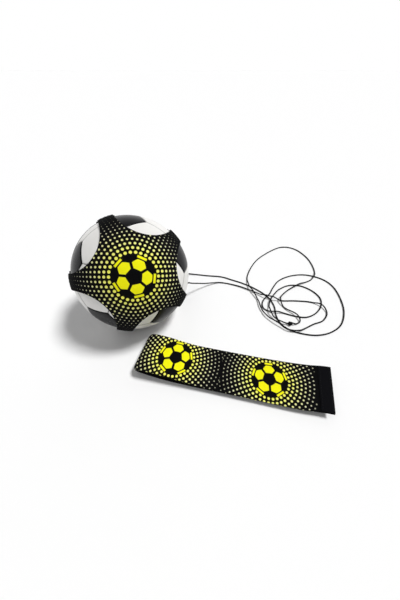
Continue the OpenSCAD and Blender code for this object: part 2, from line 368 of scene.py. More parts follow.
# A point by its degrees from the star's middle, its degrees round it and its distance from the ball's middle
def onStar(polar, turn, radius):
    polar, turn = radians(polar), radians(turn)
    outward = cos(turn) * starAim + sin(turn) * starSide
    return ballMiddle + radius * (sin(polar) * outward + cos(polar) * starAxis)


def armTurn(k):
    return (k - 1) * armStep


coverForm = {
    "outer": 0.11385,  # radius of the cloth's outside
    "inner": 0.1104,
    "armWidth": 0.029,
    "notchAngle": 37.5,  # degrees from the star's middle to a notch
    "cutAngle": 51.0,  # where the arms' own pieces begin
    "bendAngles": (54.0, 66.0),
    "tunnelAngle": 97.0,
    "armShort": 1.2,  # degrees by which an arm's cloth ends before its tunnel's middle
    "tunnelOut": 0.1139,  # radius at which the cord runs
    "tunnelOuter": 0.00345,
    "tunnelBore": 0.00185,
    "hemFlare": 0.0015,
    "cordClear": 2.0,  # degrees from the end of a tunnel to where a strand leaves it
    "edgeRound": 0.0009,
}
ringRadius = coverForm["tunnelOut"] * sin(radians(coverForm["tunnelAngle"]))
tunnelHalf = degrees(asin((coverForm["armWidth"] / 2 + coverForm["hemFlare"]) / ringRadius))
ringExit = tunnelHalf + coverForm["cordClear"]


# Camera

cameraView = {
    "place": (0.1326, -0.3652, 0.402),
    "tilt": 44.9,  # degrees up from straight down
    "focalPixels": 233,
    "imageHeight": 600,
    "sensor": 36.0,
    "clipStart": 0.01,
}


def makeCamera():
    data = bpy.data.cameras.new("viewCamera")
    data.sensor_width = cameraView["sensor"]
    data.lens = cameraView["sensor"] * cameraView["focalPixels"] / cameraView["imageHeight"]
    data.clip_start = cameraView["clipStart"]
    camera = bpy.data.objects.new("viewCamera", data)
    camera.location = cameraView["place"]
    camera.rotation_euler = (radians(cameraView["tilt"]), 0, 0)
    bpy.context.scene.collection.objects.link(camera)
    bpy.context.scene.camera = camera


makeCamera()
print("camera placed")


# Cord

cordForm = {
    "diameter": 0.003,
    "lengthA": 1.48,
    "lengthB": 1.38,
    "straight": 2.5,  # diameters straight out of a tunnel
    "crossingLift": 0.0044,  # from one cord's middle to the next above it
    "crossingReach": 0.016,
    "ownReach": 0.045,  # length of its own last stretch that a strand needn't pass over
    "steps": 6,
    "sides": 10,
    "drawSteps": 14,  # in half an arm's length of the cord behind the ball
    "hangFoot": 0.012,  # below this height a strand stays on the floor when an arm lifts
    "plaits": 4,
    "plaitPitch": 2.4,  # millimetres
    "black": (0.003, 0.003, 0.0035, 1),
    "worn": (0.014, 0.014, 0.016, 1),
}
cordRadius = cordForm["diameter"] / 2
routeA = [
    (0.095, 0.080, 0.100), (0.092, 0.090, 0.075), (0.088, 0.102, 0.050), (0.086, 0.115, 0.028),
    (0.088, 0.127, 0.012), (0.099, 0.133, 0.003), (0.122, 0.132, 0), (0.152, 0.127, 0), (0.190, 0.122, 0),
    (0.216, 0.110, 0), (0.245, 0.095, 0), (0.270, 0.077, 0), (0.291, 0.056, 0), (0.303, 0.036, 0),
    (0.308, 0.012, 0), (0.306, -0.015, 0), (0.310, -0.038, 0), (0.325, -0.056, 0), (0.350, -0.067, 0),
    (0.381, -0.071, 0), (0.413, -0.063, 0), (0.443, -0.042, 0), (0.465, -0.005, 0), (0.475, 0.037, 0),
    (0.475, 0.081, 0), (0.458, 0.112, 0), (0.420, 0.130, 0), (0.378, 0.126, 0), (0.341, 0.106, 0),
    (0.318, 0.076, 0), (0.303, 0.050, 0), (0.285, 0.031, 0), (0.281, 0.009, 0), (0.296, -0.005, 0),
    (0.322, -0.008, 0), (0.349, -0.018, 0), (0.374, -0.021, 0), (0.400, -0.008, 0), (0.420, 0.016, 0),
    (0.426, 0.042, 0), (0.415, 0.067, 0), (0.392, 0.085, 0), (0.362, 0.087, 0), (0.333, 0.071, 0),
    (0.314, 0.048, 0), (0.298, 0.022, 0), (0.294, -0.006, 0), (0.302, -0.028, 0), (0.315, -0.038, 0),
    (0.326, -0.041, 0.003)]
routeB = [
    (0.106, 0.030, 0.058), (0.113, 0.044, 0.045), (0.126, 0.062, 0.029), (0.145, 0.080, 0.013),
    (0.167, 0.094, 0.003), (0.191, 0.098, 0), (0.232, 0.084, 0), (0.265, 0.064, 0), (0.294, 0.043, 0),
    (0.326, 0.032, 0), (0.363, 0.031, 0), (0.398, 0.027, 0), (0.420, 0.014, 0), (0.424, -0.009, 0),
    (0.407, -0.031, 0), (0.383, -0.041, 0), (0.364, -0.051, 0), (0.345, -0.061, 0), (0.323, -0.059, 0),
    (0.303, -0.041, 0), (0.284, -0.020, 0), (0.275, 0.005, 0), (0.273, 0.032, 0), (0.267, 0.055, 0),
    (0.258, 0.086, 0), (0.262, 0.130, 0), (0.295, 0.194, 0), (0.344, 0.242, 0), (0.390, 0.268, 0),
    (0.428, 0.254, 0), (0.450, 0.205, 0), (0.449, 0.146, 0), (0.430, 0.112, 0), (0.394, 0.092, 0),
    (0.352, 0.066, 0), (0.327, 0.036, 0), (0.331, 0.008, 0), (0.350, -0.012, 0), (0.355, -0.032, 0),
    (0.344, -0.041, 0), (0.334, -0.042, 0.003)]


def ringPoint(turn):
    return onStar(coverForm["tunnelAngle"], turn, coverForm["tunnelOut"])


# How high a cord has to lie at a point to pass over one that lies there already
def riseOver(point, line):
    height = 0.0
    for a, b in zip(line, line[1:]):
        flat = (b - a).xy
        share = min(1.0, max(0.0, (point - a).xy.dot(flat) / flat.length_squared))
        under = a.lerp(b, share)
        away = (point - under).xy.length / cordForm["crossingReach"]
        height = max(height, (under.z + cordForm["crossingLift"]) * exp(-away * away))
    return height


def layLine(points, below):
    laid, along = [], [0.0]
    for point in points:
        if laid:
            along.append(along[-1] + (point - points[len(laid) - 1]).length)
        older = [p for p, distance in zip(laid, along) if along[-1] - distance > cordForm["ownReach"]]
        lift = max(riseOver(point, line) for line in [*below, older])
        laid.append(Vector((point.x, point.y, max(cordRadius, point.z, lift))))
    return laid


def strandLine(turn, way, route, below):
    start = ringPoint(turn)
    aim = (ringPoint(turn + way) - start).normalized()
    points = [start, start + cordForm["straight"] * cordForm["diameter"] * aim]
    points += [Vector(point) + cordRadius * up for point in route]
    return layLine(smoothLine(points, cordForm["steps"]), below)


def makeElastic():
    finish = Finish("elasticCord", Roughness=0.6, Specular_IOR_Level=0.1)
    turn, along = finish.mapped("braid")
    plaits, slope = turn * cordForm["plaits"], along / cordForm["plaitPitch"]
    braid = ((plaits + slope) * (2 * pi)).use("SINE") * ((plaits - slope) * (2 * pi)).use("SINE")
    worn = finish.grain(160)
    finish.paint(worn * 0.6 + braid * 0.2, cordForm["black"], cordForm["worn"])
    finish.relief(braid, 0.0003, 0.7)
    return finish.material


elastic = makeElastic()
exitA, exitB = -ringExit, armTurn(armNumbers[-1]) + ringExit
lineA = strandLine(exitA, -1, routeA, [])
lineB = strandLine(exitB, 1, routeB, [lineA])


knotForm = {
    "place": (0.330, -0.042, 0.0048),
    "ring": 0.0025,
    "swell": 0.0013,
    "lobes": 3,
    "winds": 2,  # times round the middle before the loop closes
    "tilt": 25,
    "points": 90,
    "sides": 12,
}


def makeKnot():
    tilt = Matrix.Rotation(radians(knotForm["tilt"]), 3, "X")
    swell = knotForm["swell"]
    line = []
    for i in range(knotForm["points"]):
        t = 2 * pi * i / (knotForm["points"] - 1)
        lobe, wind = knotForm["lobes"] * t, knotForm["winds"] * t
        out = knotForm["ring"] + swell * cos(lobe)
        around = Vector((out * cos(wind), out * sin(wind), swell * sin(lobe)))
        line.append(Vector(knotForm["place"]) + tilt @ around)
    piece = tubePiece("tied_knot", line, cordRadius, knotForm["sides"])
    dress(piece, "elastic_cord", elastic)
    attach(piece, "ball")
    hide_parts("cord_knot")
    return piece


knotPiece = makeKnot()


def makeStrand(name, node, line):
    piece = tubePiece(name, line, cordRadius, cordForm["sides"])
    dress(piece, "elastic_cord", elastic)
    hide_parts(node)
    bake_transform(piece)
    print(name, "length", round(lineLength(line), 3))


makeStrand("strand_a", "cord_strand_a", lineA)
makeStrand("strand_b", "cord_strand_b", lineB)


# The cord behind the ball, in two halves for each arm so that it follows the arms' tunnels
def makeDrawCord():
    steps = cordForm["drawSteps"]
    for k in armNumbers:
        middle = armTurn(k)
        ends = {
            "in": exitA if k == armNumbers[0] else middle - armStep / 2,
            "out": exitB if k == armNumbers[-1] else middle + armStep / 2,
        }
        for half, end in ends.items():
            line = [ringPoint(middle + (end - middle) * i / steps) for i in range(steps + 1)]
            piece = tubePiece(f"draw_cord_{k}_{half}", line, cordRadius, cordForm["sides"], dome=False)
            dress(piece, "elastic_cord", elastic)
            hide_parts("draw_cord")
            if end in (exitA, exitB):
                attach(piece, f"arm_{k}")
            else:
                mouth = middle + (tunnelHalf if half == "out" else -tunnelHalf)
                ringPoint(end)
                ringPoint(mouth)
                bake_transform(piece)


makeDrawCord()
print("cords laid")


# Ball

ballForm = {
    "radius": 0.110,
    "panelInside": 0.1071,
    "compass": -74.5,  # of the black panel in front, in degrees
    "height": 37.0,
    "spin": 31.5,
    "seamHalf": 0.00012,
    "rollWidth": 0.0027,  # how far from a seam a panel starts to roll in
    "rollDepth": 0.0019,
    "rollRows": (1.15, 0.8, 0.55, 0.36, 0.22, 0.12, 0.05, 0),  # shares of that width
    "flatRows": (0.14, 0.28, 0.42, 0.56, 0.68, 0.79, 0.88),  # shares of the way to the edge
    "swell": 0.00035,
    "edgeSteps": 12,
    "valveHole": 0.0046,
    # rows of the hole's edge: how wide it is there, how deep, and how much painted shade and dirt darkens it
    "valveRows": ((1, 0.0022, 1.0), (1.02, 0.0005, 1.0), (1.16, 0, 0.2)),
    "sameAim": 0.99,  # cosine above which two directions are one
}
panelLooks = {
    "whitePanel": {
        "pale": (0.86, 0.85, 0.83, 1),
        "shade": (0.8, 0.785, 0.755, 1),
        # colour of the painted shade and dirt in the seam grooves and the valve's hole
        "groove": (0.12, 0.115, 0.11, 1),
        "roughness": 0.36,
        "gloss": 0.3,
        "coat": 0.3,
    },
    "blackPanel": {
        "pale": (0.004, 0.004, 0.005, 1),
        "shade": (0.009, 0.009, 0.011, 1),
        "groove": (0.002, 0.002, 0.002, 1),
        "roughness": 0.3,
        "gloss": 0.05,
        "coat": 0.1,
    },
}


def ballTurn():
    compass, height, spin = (radians(ballForm[key]) for key in ("compass", "height", "spin"))
    return (Matrix.Rotation(compass, 3, "Z") @ Matrix.Rotation(pi / 2 - height, 3, "Y")
            @ Matrix.Rotation(spin, 3, "Z"))


# The twelve black panels' middles, then every panel's corners a third of the way between two of them
def panelOutlines():
    turn = ballTurn()
    ring, fifth = atan2(2, 1), radians(72)
    poles = [Vector((0, 0, 1)), Vector((0, 0, -1))]
    for k in range(5):
        for tilt, around in ((ring, fifth * k), (pi - ring, fifth * (k + 0.5))):
            poles.append(Vector((sin(tilt) * cos(around), sin(tilt) * sin(around), cos(tilt))))
    poles = [turn @ pole for pole in poles]
    count = len(poles)
    # only neighbours lie at the ring's own angle from each other
    near = [[j for j in range(count) if abs(pole.dot(poles[j]) - cos(ring)) < 0.05] for pole in poles]

    def ordered(middle, corners):
        first = corners[0]
        side = middle.cross(first)
        return sorted(corners, key=lambda c: atan2(c.dot(side), (c - c.dot(middle) * middle).dot(first)))

    black, white = [], []
    for i in range(count):
        corners = [(2 * poles[i] + poles[j]).normalized() for j in near[i]]
        black.append((poles[i], ordered(poles[i], corners)))
        for j in near[i]:
            for k in near[j]:
                if i < j < k and k in near[i]:
                    middle = (poles[i] + poles[j] + poles[k]).normalized()
                    pairs = [(a, b) for a in (i, j, k) for b in (i, j, k) if a != b]
                    corners = [(2 * poles[a] + poles[b]).normalized() for a, b in pairs]
                    white.append((middle, ordered(middle, corners)))
    return black, white


# Rows of points from the middle, or from the valve's hole, over the rolled edge to the panel's inside
def addPanel(points, faces, seams, middle, corners, hole):
    radius, steps, inside = ballForm["radius"], ballForm["edgeSteps"], ballForm["panelInside"]
    sides = zip(corners, corners[1:] + corners[:1])
    edge = [a.lerp(b, s / steps) for a, b in sides for s in range(steps)]
    edge = [point / point.dot(middle) for point in edge]
    reach = radius * min((point - middle).length for point in edge)
    first, count = len(points), len(edge)

    # each row also carries its share of painted shade and dirt, 1 in the seam groove
    def addRow(aims, height, seam):
        points.extend(ballMiddle + aim.normalized() * height for aim in aims)
        seams.extend([seam] * count)

    if hole:
        for grow, depth, grooveShadeAndDirt in ballForm["valveRows"]:
            wide = tan(hole / radius) * grow
            addRow([middle + (point - middle).normalized() * wide for point in edge], radius - depth, grooveShadeAndDirt)
    fromSeam = [ballForm["seamHalf"] + ballForm["rollWidth"] * share for share in ballForm["rollRows"]]
    for scale in [*ballForm["flatRows"], *(1 - distance / reach for distance in fromSeam)]:
        away = (1 - scale) * reach - ballForm["seamHalf"]
        near = min(1.0, max(0.0, 1 - away / ballForm["rollWidth"]))
        drop = ballForm["rollDepth"] * (1 - sqrt(1 - near * near)) + ballForm["swell"] * scale * scale
        addRow([middle + (point - middle) * scale for point in edge], radius - drop, near)
    addRow(edge, inside, 1.0)
    back = len(points) - count
    faces += gridFaces((len(points) - first) // count, count, first, True)
    following = [(k + 1) % count for k in range(count)]
    if hole:
        faces += [(back + k, back + after, first + after, first + k) for k, after in enumerate(following)]
        return
    for start, height, outward in ((first, radius, True), (back, inside, False)):
        tip = len(points)
        points.append(ballMiddle + middle * height)
        seams.append(0.0)
        for k, after in enumerate(following):
            faces.append((tip, start + k, start + after) if outward else (tip, start + after, start + k))


def makePanels(name, node, outlines, slot, finish, valveAim=None):
    points, faces, seams = [], [], []
    for middle, corners in outlines:
        holdsValve = valveAim and middle.dot(valveAim) > ballForm["sameAim"]
        addPanel(points, faces, seams, middle, corners, ballForm["valveHole"] if holdsValve else 0)
    piece = newPiece(name, points, faces, sharp=60)
    # each point's share of painted shade and dirt, which the finish reads
    seamShadeAndDirt = piece.data.attributes.new("seam", "FLOAT", "POINT")
    seamShadeAndDirt.data.foreach_set("value", seams)
    dress(piece, slot, finish)
    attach(piece, "ball")
    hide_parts(node)


def makePanelFinish(name):
    look = panelLooks[name]
    finish = Finish(name, Coat_Weight=look["coat"], Coat_Roughness=0.22, Specular_IOR_Level=look["gloss"])
    cloudy = finish.grain(26, 4.0)
    seam = finish.node("ShaderNodeAttribute", {"attribute_name": "seam"}, {}, "Fac")
    # The panel darkens towards the seams and inside the valve's hole: painted shade in the grooves, with some
    # dirt
    grooveShadeAndDirt = (seam * 1.15 - 0.35 + (cloudy - 0.5) * 0.5).clamp()
    skin = finish.mix((cloudy * 1.6 - 0.45).clamp(), look["pale"], look["shade"])
    finish.paint(grooveShadeAndDirt, skin, look["groove"])
    finish.drive("Roughness", (cloudy - 0.5) * 0.16 + look["roughness"] + grooveShadeAndDirt * 0.25)
    pebble, pores = finish.cells(820), finish.grain(2600)
    finish.relief(pebble * 0.7 + pores * 0.3, 0.00012, 0.5)
    return finish.material


whiteSkin, blackSkin = makePanelFinish("whitePanel"), makePanelFinish("blackPanel")
valveLow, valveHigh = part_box("ball_valve")
valveAim = ((valveLow + valveHigh) / 2 - ballMiddle).normalized()
blackPanels, whitePanels = panelOutlines()
makePanels("black_panels", "ball_pentagon_panels", blackPanels, "panel_black", blackSkin)
makePanels("white_panels", "ball_hexagon_panels", whitePanels, "panel_white", whiteSkin, valveAim)

valveForm = {
    # radius and height, from the needle hole out to the rim and down
    "profile": ((0.0007, -0.0035), (0.0008, -0.0016), (0.0012, -0.0012), (0.0022, -0.0010), (0.0032, -0.0007),
                (0.0038, -0.0006), (0.0042, -0.0009), (0.0044, -0.0016), (0.0044, -0.0045)),
    "sides": 40,
    "pale": (0.74, 0.73, 0.7, 1),
    "dark": (0.6, 0.59, 0.56, 1),
}


def makeValve():
    finish = Finish("valveRubber", Roughness=0.62)
    finish.paint(finish.grain(300), valveForm["pale"], valveForm["dark"])
    finish.relief(finish.grain(1500), 0.0001, 0.4)
    side = valveAim.orthogonal().normalized()
    other = valveAim.cross(side)
    sides = valveForm["sides"]
    points = []
    for radius, height in valveForm["profile"]:
        for k in range(sides):
            turn = 2 * pi * k / sides
            points.append(ballMiddle + valveAim * (ballForm["radius"] + height)
                          + radius * (cos(turn) * side + sin(turn) * other))
    faces = gridFaces(len(valveForm["profile"]), sides, 0, True)
    faces.append(tuple(reversed(range(sides))))
    faces.append(tuple(range(len(points) - sides, len(points))))
    piece = newPiece("valve_insert", points, faces, sharp=50)
    dress(piece, "valve_rubber", finish.material)
    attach(piece, "ball")
    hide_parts("ball_valve")


layerColours = {
    "lining": ((0.62, 0.57, 0.46, 1), (0.78, 0.73, 0.62, 1)),
    "bladder": ((0.02, 0.02, 0.021, 1), (0.05, 0.05, 0.052, 1)),
}


def dressInnerLayers():
    cloth = Finish("liningCloth", Roughness=0.85)
    weave = cloth.bands(400, 2.0)
    cloth.paint(weave, *layerColours["lining"])
    cloth.relief(weave, 0.0002, 0.6)
    rubber = Finish("bladderRubber", Roughness=0.55)
    rubber.paint(rubber.grain(60), *layerColours["bladder"])
    rubber.relief(rubber.grain(900), 0.0002, 0.4)
    for node, finish in (("ball_lining", cloth), ("ball_bladder", rubber)):
        frame["nodes"][node].data.materials.clear()
        frame["nodes"][node].data.materials.append(finish.material)


makeValve()
dressInnerLayers()
print("ball built:", len(blackPanels), "black and", len(whitePanels), "white panels")


# Printed cloth, in millimetres and degrees; the parts of the figure are shares of its size

printForm = {
    "firstRing": 5,
    "dotsPerRing": 6,  # times the ring's number
    "seam": 0.02,
    "bar": (0.932, 0.056, 0.225),  # middle, half its width and half its length
    "panelSoft": 0.004,  # how soft the edges of the panels, bars and dots are
    "barSoft": 0.015,
    "dotSoft": 0.35,
    "yellow": (0.93, 0.9, 0.008, 1),
    "paleYellow": (0.92, 0.91, 0.14, 1),
    "offWhite": (0.88, 0.88, 0.62, 1),
    "ground": ((0.0015, 0.0015, 0.0018, 1), (0.0045, 0.0045, 0.0052, 1)),
    "ribPitch": 0.9,
    "rowPitch": 0.75,
    "rowWave": 0.25,
}
coverPrintForm = {
    "step": 7.65,  # from ring to ring
    "figure": 34.0,
    "turn": 23.5,  # of a yellow hexagon
    "dotTurn": 138.0,  # of a line of dots
    "dots": (2.6, 0.4),  # radius of the first and the last
    "reach": 116.0,
    "plainFrom": None,
}
beltPrintForm = {
    "step": 6.8,
    "figure": 31.0,
    "turn": 22.0,
    "dotTurn": 28.5,
    "dots": (2.2, 0.85),
    "reach": 94.0,
    "plainFrom": 324.0,  # from the fold to the plain end
}
beltTile = {
    "length": 173.0,  # from one figure to the next
    "start": 73.7,  # from the fold to the first
    "shift": -1.0,
    "stretch": (1.19, 1.06),  # how much the cloth is pulled out across the first and the second figure
}


# How deep a point of the figure lies in its yellow panels, on a football seen straight on
def figureMask(radius, angle, size, turn):
    share = radius / size
    fifth = 72
    around = (angle - radians(turn - fifth / 2)) % radians(fifth) - radians(fifth / 2)
    across = share * around.use("COSINE")
    aside = (share * around.use("SINE")).use("ABSOLUTE")
    depth = (1 - share * share).use("MAXIMUM", 0.0).use("SQRT")
    pentagonHeight, hexagonHeight = 2.3274, 2.2673  # from the ball's middle, in edges of a panel
    hexagonTilt, pentagonTilt, farTilt = 37.377, 63.435, 79.188  # from the middle panel to the ones round it

    def face(polar, azimuth, height):
        polar, azimuth = radians(polar), radians(azimuth)
        reach = across * (sin(polar) * cos(azimuth) / height) + depth * (cos(polar) / height)
        return reach + aside * (sin(polar) * sin(azimuth) / height) if azimuth else reach

    middle = face(0, 0, pentagonHeight)
    hexagon = face(hexagonTilt, 0, hexagonHeight)
    neighbour = face(hexagonTilt, fifth, hexagonHeight)
    outer = face(pentagonTilt, fifth / 2, pentagonHeight)
    beyond = face(farTilt, 0, hexagonHeight)
    inHexagon = hexagon - middle.use("MAXIMUM", neighbour).use("MAXIMUM", outer).use("MAXIMUM", beyond)
    panels = ((inHexagon - printForm["seam"]) / printForm["panelSoft"] + 0.5).clamp()
    barMiddle, barHalf, barReach = printForm["bar"]
    offBar = (across - barMiddle).use("ABSOLUTE") - barHalf
    bars = (0.5 - offBar.use("MAXIMUM", aside - barReach) / printForm["barSoft"]).clamp()
    return panels.use("MAXIMUM", bars)


def makePrintFinish(name, place, look):
    finish = Finish(name, Specular_IOR_Level=0.04)
    u, v = finish.mapped("print")
    along, across = u * (perMetre / mapUnits), v * (perMetre / mapUnits)
    x, y = place(along, across)
    radius = (x * x + y * y).use("SQRT")
    angle = y.use("ARCTAN2", x)
    ring = (radius / look["step"]).use("ROUND").use("MAXIMUM", printForm["firstRing"])
    count = ring * printForm["dotsPerRing"]
    offTurn = ((angle - radians(look["dotTurn"])) / (2 * pi) * count + 0.5).use("FRACT") - 0.5
    offAlong = offTurn * radius * (2 * pi) / count
    offRing = radius - ring * look["step"]
    away = (offAlong * offAlong + offRing * offRing).use("SQRT")
    near, far = printForm["firstRing"] * look["step"], look["reach"]
    fade = ((radius - near) / (far - near)).clamp()
    largest, smallest = look["dots"]
    dots = ((largest - fade * (largest - smallest) - away) / printForm["dotSoft"] + 0.5).clamp()
    if look["plainFrom"]:
        dots = dots * (look["plainFrom"] - along).clamp()
    figure = figureMask(radius, angle, look["figure"], look["turn"])
    ribs = (x * (2 * pi / printForm["ribPitch"])).use("SINE")
    rows = y + ribs.use("ABSOLUTE") * printForm["rowWave"]
    knit = ribs * (rows * (2 * pi / printForm["rowPitch"])).use("SINE")
    lint = finish.grain(420)
    ground = finish.mix((lint * 1.4 - 0.3).clamp(), *printForm["ground"])
    dotInk = finish.mix((fade * 1.5).clamp(), printForm["paleYellow"], printForm["offWhite"])
    ink = finish.mix(figure, dotInk, printForm["yellow"])
    inked = dots * (1 - fade * fade * 0.75)
    cover = (inked.use("MAXIMUM", figure) * (0.95 + lint * 0.1)).clamp()
    finish.paint(cover, ground, ink)
    finish.drive("Roughness", 0.85 - cover * 0.2 + (lint - 0.5) * 0.1)
    finish.relief(knit * 0.6 + lint * 0.5 + cover * 0.5, 0.00018, 0.6)
    return finish.material


def onCover(x, y):
    return x, y


def onTile(x, y):
    tile = beltTile["length"]
    first, second = beltTile["stretch"]
    stretch = ((x - beltTile["start"]) / tile).clamp() * (second - first) + first
    return (x - (beltTile["start"] - tile / 2)) % tile - tile / 2, (y + beltTile["shift"]) / stretch


blackColours = {
    "backing": ((0.003, 0.003, 0.0035, 1), (0.012, 0.012, 0.013, 1)),
    "thread": ((0.004, 0.004, 0.005, 1), (0.012, 0.012, 0.014, 1)),
}


def makeBacking():
    finish = Finish("clothBacking", Roughness=0.88, Specular_IOR_Level=0.12)
    lint = finish.grain(700, 3.0)
    finish.paint(lint, *blackColours["backing"])
    finish.relief(lint, 0.0002, 0.6)
    return finish.material


def makeThread():
    finish = Finish("sewingThread", Roughness=0.6, Specular_IOR_Level=0.1)
    twist = finish.bands(900)
    finish.paint(twist, *blackColours["thread"])
    finish.relief(twist, 0.0001, 0.6)
    return finish.material


coverPrint = makePrintFinish("coverPrint", onCover, coverPrintForm)
beltPrint = makePrintFinish("beltPrint", onTile, beltPrintForm)
backing, thread = makeBacking(), makeThread()
print("finishes mixed")


# Cover

coverSteps = {"arm": 24, "notch": 16, "rings": 22, "armRows": 26}
printShift = (1.75, 136.5)  # degrees of the print's middle from the star's, and which way
notchIn = coverForm["outer"] * sin(radians(coverForm["notchAngle"]))
notchAt = (notchIn - coverForm["armWidth"] / 2) / (1 - sin(radians(armStep / 2)))
notchRadius = notchAt - notchIn


# Half an arm's width, in degrees round the star's axis
def armHalf(polar):
    reach = coverForm["outer"] * sin(radians(polar))
    toNotch = (reach * reach + notchAt ** 2 - notchRadius ** 2) / (2 * reach * notchAt)
    return armStep / 2 - degrees(acos(toNotch))


# Degrees from the star's middle to the notch's edge
def notchPolar(offTurn):
    off = radians(armStep / 2 - abs(offTurn))
    reach = notchAt * cos(off) - sqrt(max(0.0, notchRadius ** 2 - (notchAt * sin(off)) ** 2))
    return degrees(asin(reach / coverForm["outer"]))


def printCoords(polar, turn):
    shiftPolar, shiftTurn = printShift
    scale = coverForm["outer"] * mapUnits * pi / 180
    return (scale * (polar * cos(radians(turn)) - shiftPolar * cos(radians(shiftTurn))),
            scale * (polar * sin(radians(turn)) - shiftPolar * sin(radians(shiftTurn))))


def makeCoverMiddle():
    cut = coverForm["cutAngle"]
    half = armHalf(cut)
    across, notch = coverSteps["arm"], 2 * coverSteps["notch"]
    onArm = [half * (2 * i / across - 1) for i in range(across + 1)]
    onNotch = [half + (armStep - 2 * half) * i / notch for i in range(1, notch)]
    spokes, cutSpokes = [], []
    for k in armNumbers:
        cutSpokes += range(len(spokes), len(spokes) + len(onArm))
        spokes += [(armTurn(k) + off, cut) for off in onArm]
        spokes += [(armTurn(k) + off, notchPolar(min(off, armStep - off))) for off in onNotch]
    outside, inside, coords = [], [], []

    def addPoint(polar, turn):
        outside.append(onStar(polar, turn, coverForm["outer"]))
        inside.append(onStar(polar, turn, coverForm["inner"]))
        coords.append(printCoords(polar, turn))

    rings, count = coverSteps["rings"], len(spokes)
    for ring in range(1, rings + 1):
        for turn, reach in spokes:
            addPoint(reach * ring / rings, turn)
    tip = len(outside)
    addPoint(0, 0)
    faces = flipped(gridFaces(rings, count, 0, True))
    faces += [(tip, k, (k + 1) % count) for k in range(count)]
    rim = (rings - 1) * count
    cutPoints = {rim + spoke for spoke in cutSpokes}
    piece = clothPiece("cover_middle", outside, inside, faces, coords, cutPoints, coverForm["edgeRound"])
    dress(piece, "printed_stretch_fabric", coverPrint, backing)
    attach(piece, "ball")
    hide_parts("cover_star")
    return piece


gatherForm = {
    "count": 4,  # ridges across an arm, where the cord draws it in
    "height": 0.0008,
    "angles": (72.0, 89.0, 94.5),  # where they begin, stand highest and meet the stitches
    "sewnDown": 0.7,  # share of the height that the stitches press out
    "wander": 2.5,
    "lengthways": (0.07, 2.3, 1.9),  # steps of the noise for a degree and for an arm, and its start
    "sideways": (1.0, 5.1, 0.4),
    "sidewaysShare": 0.6,
}


def noiseAt(place, k, steps):
    return noise.noise(Vector((place * steps[0], k * steps[1], steps[2])))


# Height of the gathers at a point, across being -1 and 1 at the arm's edges
def gatherRise(k, polar, across):
    begin, highest, sewn = gatherForm["angles"]
    rise = ease((polar - begin) / (highest - begin))
    rise *= 1 - gatherForm["sewnDown"] * ease((polar - highest) / (sewn - highest))
    wander = noiseAt(polar, k, gatherForm["lengthways"])
    wander += gatherForm["sidewaysShare"] * noiseAt(across, k, gatherForm["sideways"])
    ridge = 0.5 + 0.5 * cos(pi * gatherForm["count"] * across + gatherForm["wander"] * wander)
    return gatherForm["height"] * rise * ridge * (1 - across ** 4)


def makeCoverArm(k):
    middle = armTurn(k)
    cut, end = coverForm["cutAngle"], coverForm["tunnelAngle"] - coverForm["armShort"]
    rows, columns = coverSteps["armRows"], coverSteps["arm"]
    outside, inside, coords = [], [], []
    for i in range(rows + 1):
        polar = cut + (end - cut) * i / rows
        half = armHalf(polar)
        for j in range(columns + 1):
            across = 2 * j / columns - 1
            turn = middle + half * across
            outside.append(onStar(polar, turn, coverForm["outer"] + gatherRise(k, polar, across)))
            inside.append(onStar(polar, turn, coverForm["inner"]))
            coords.append(printCoords(polar, turn))
    faces = flipped(gridFaces(rows + 1, columns + 1))
    last = rows * (columns + 1)
    cutPoints = {*range(columns + 1), *range(last, last + columns + 1)}
    name = f"cover_arm_cloth_{k}"
    piece = clothPiece(name, outside, inside, faces, coords, cutPoints, coverForm["edgeRound"])
    dress(piece, "printed_stretch_fabric", coverPrint, backing)
    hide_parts(f"cover_arm_{k}")
    start, stop = (onStar(polar, middle, coverForm["outer"]) for polar in coverForm["bendAngles"])
    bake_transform(piece)
    return piece


hemForm = {
    "earAngle": 1.1,  # how far the pulled corners of a hem reach past it
    "lip": 0.0009,  # length in which its ends round off
    "lipDrops": (0.0007, 0.0002),
    "lipBend": 0.35,
    "spans": 16,
    "sides": 28,
    "ruffle": (0.02, 0.9, 2),  # height, and steps of the noise along the hem and round it
}


# The folded hem at an arm's tip: a tunnel of cloth round the cord
def makeHem(k):
    outer, bore = coverForm["tunnelOuter"], coverForm["tunnelBore"]
    lipAngle = degrees(hemForm["lip"] / ringRadius)
    reach = tunnelHalf + hemForm["earAngle"]
    low, high = hemForm["lipDrops"]
    lip = [(0, bore), (0, outer - low), (hemForm["lipBend"], outer - high), (1, outer)]
    sides, spans = hemForm["sides"], hemForm["spans"]
    ruffle, alongStep, roundStep = hemForm["ruffle"]
    # how far along the hem, how many lips in from its end, and the radius there
    sections = [(-1, lips, radius) for lips, radius in lip]
    sections += [(2 * i / spans - 1, 0, outer) for i in range(1, spans)]
    sections += [(1, -lips, radius) for lips, radius in reversed(lip)]
    points, coords = [], []
    for share, lips, radius in sections:
        turn = armTurn(k) + share * reach + lips * lipAngle
        place = ringPoint(turn)
        outward = (place - ballMiddle).normalized()
        along = (ringPoint(turn + 1) - place).normalized()
        down = along.cross(outward)
        for s in range(sides):
            angle = 2 * pi * s / sides
            spot = Vector((turn * alongStep, cos(angle) * roundStep, sin(angle) * roundStep))
            size = radius * (1 + ruffle * noise.noise(spot)) if radius > bore else radius
            points.append(place + size * (cos(angle) * outward + sin(angle) * down))
            polar = coverForm["tunnelAngle"] + degrees(size * sin(angle) / coverForm["outer"])
            coords.append(printCoords(polar, turn))
    faces = gridFaces(len(sections) + 1, sides, 0, True)
    faces = [tuple(i % len(points) for i in face) for face in faces]
    piece = newPiece(f"cover_hem_{k}", points, faces, coords, sharp=60)
    dress(piece, "printed_stretch_fabric", coverPrint)
    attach(piece, f"arm_{k}")
    return piece


# Where each stitch of a row starts and stops, from the middle of the row
def stitchPlaces(half, count):
    lead, length = threadForm["stitch"]
    pitch = 2 * half / count
    firsts = [pitch * (i + lead) - half for i in range(count)]
    return [(first, first + pitch * length) for first in firsts]


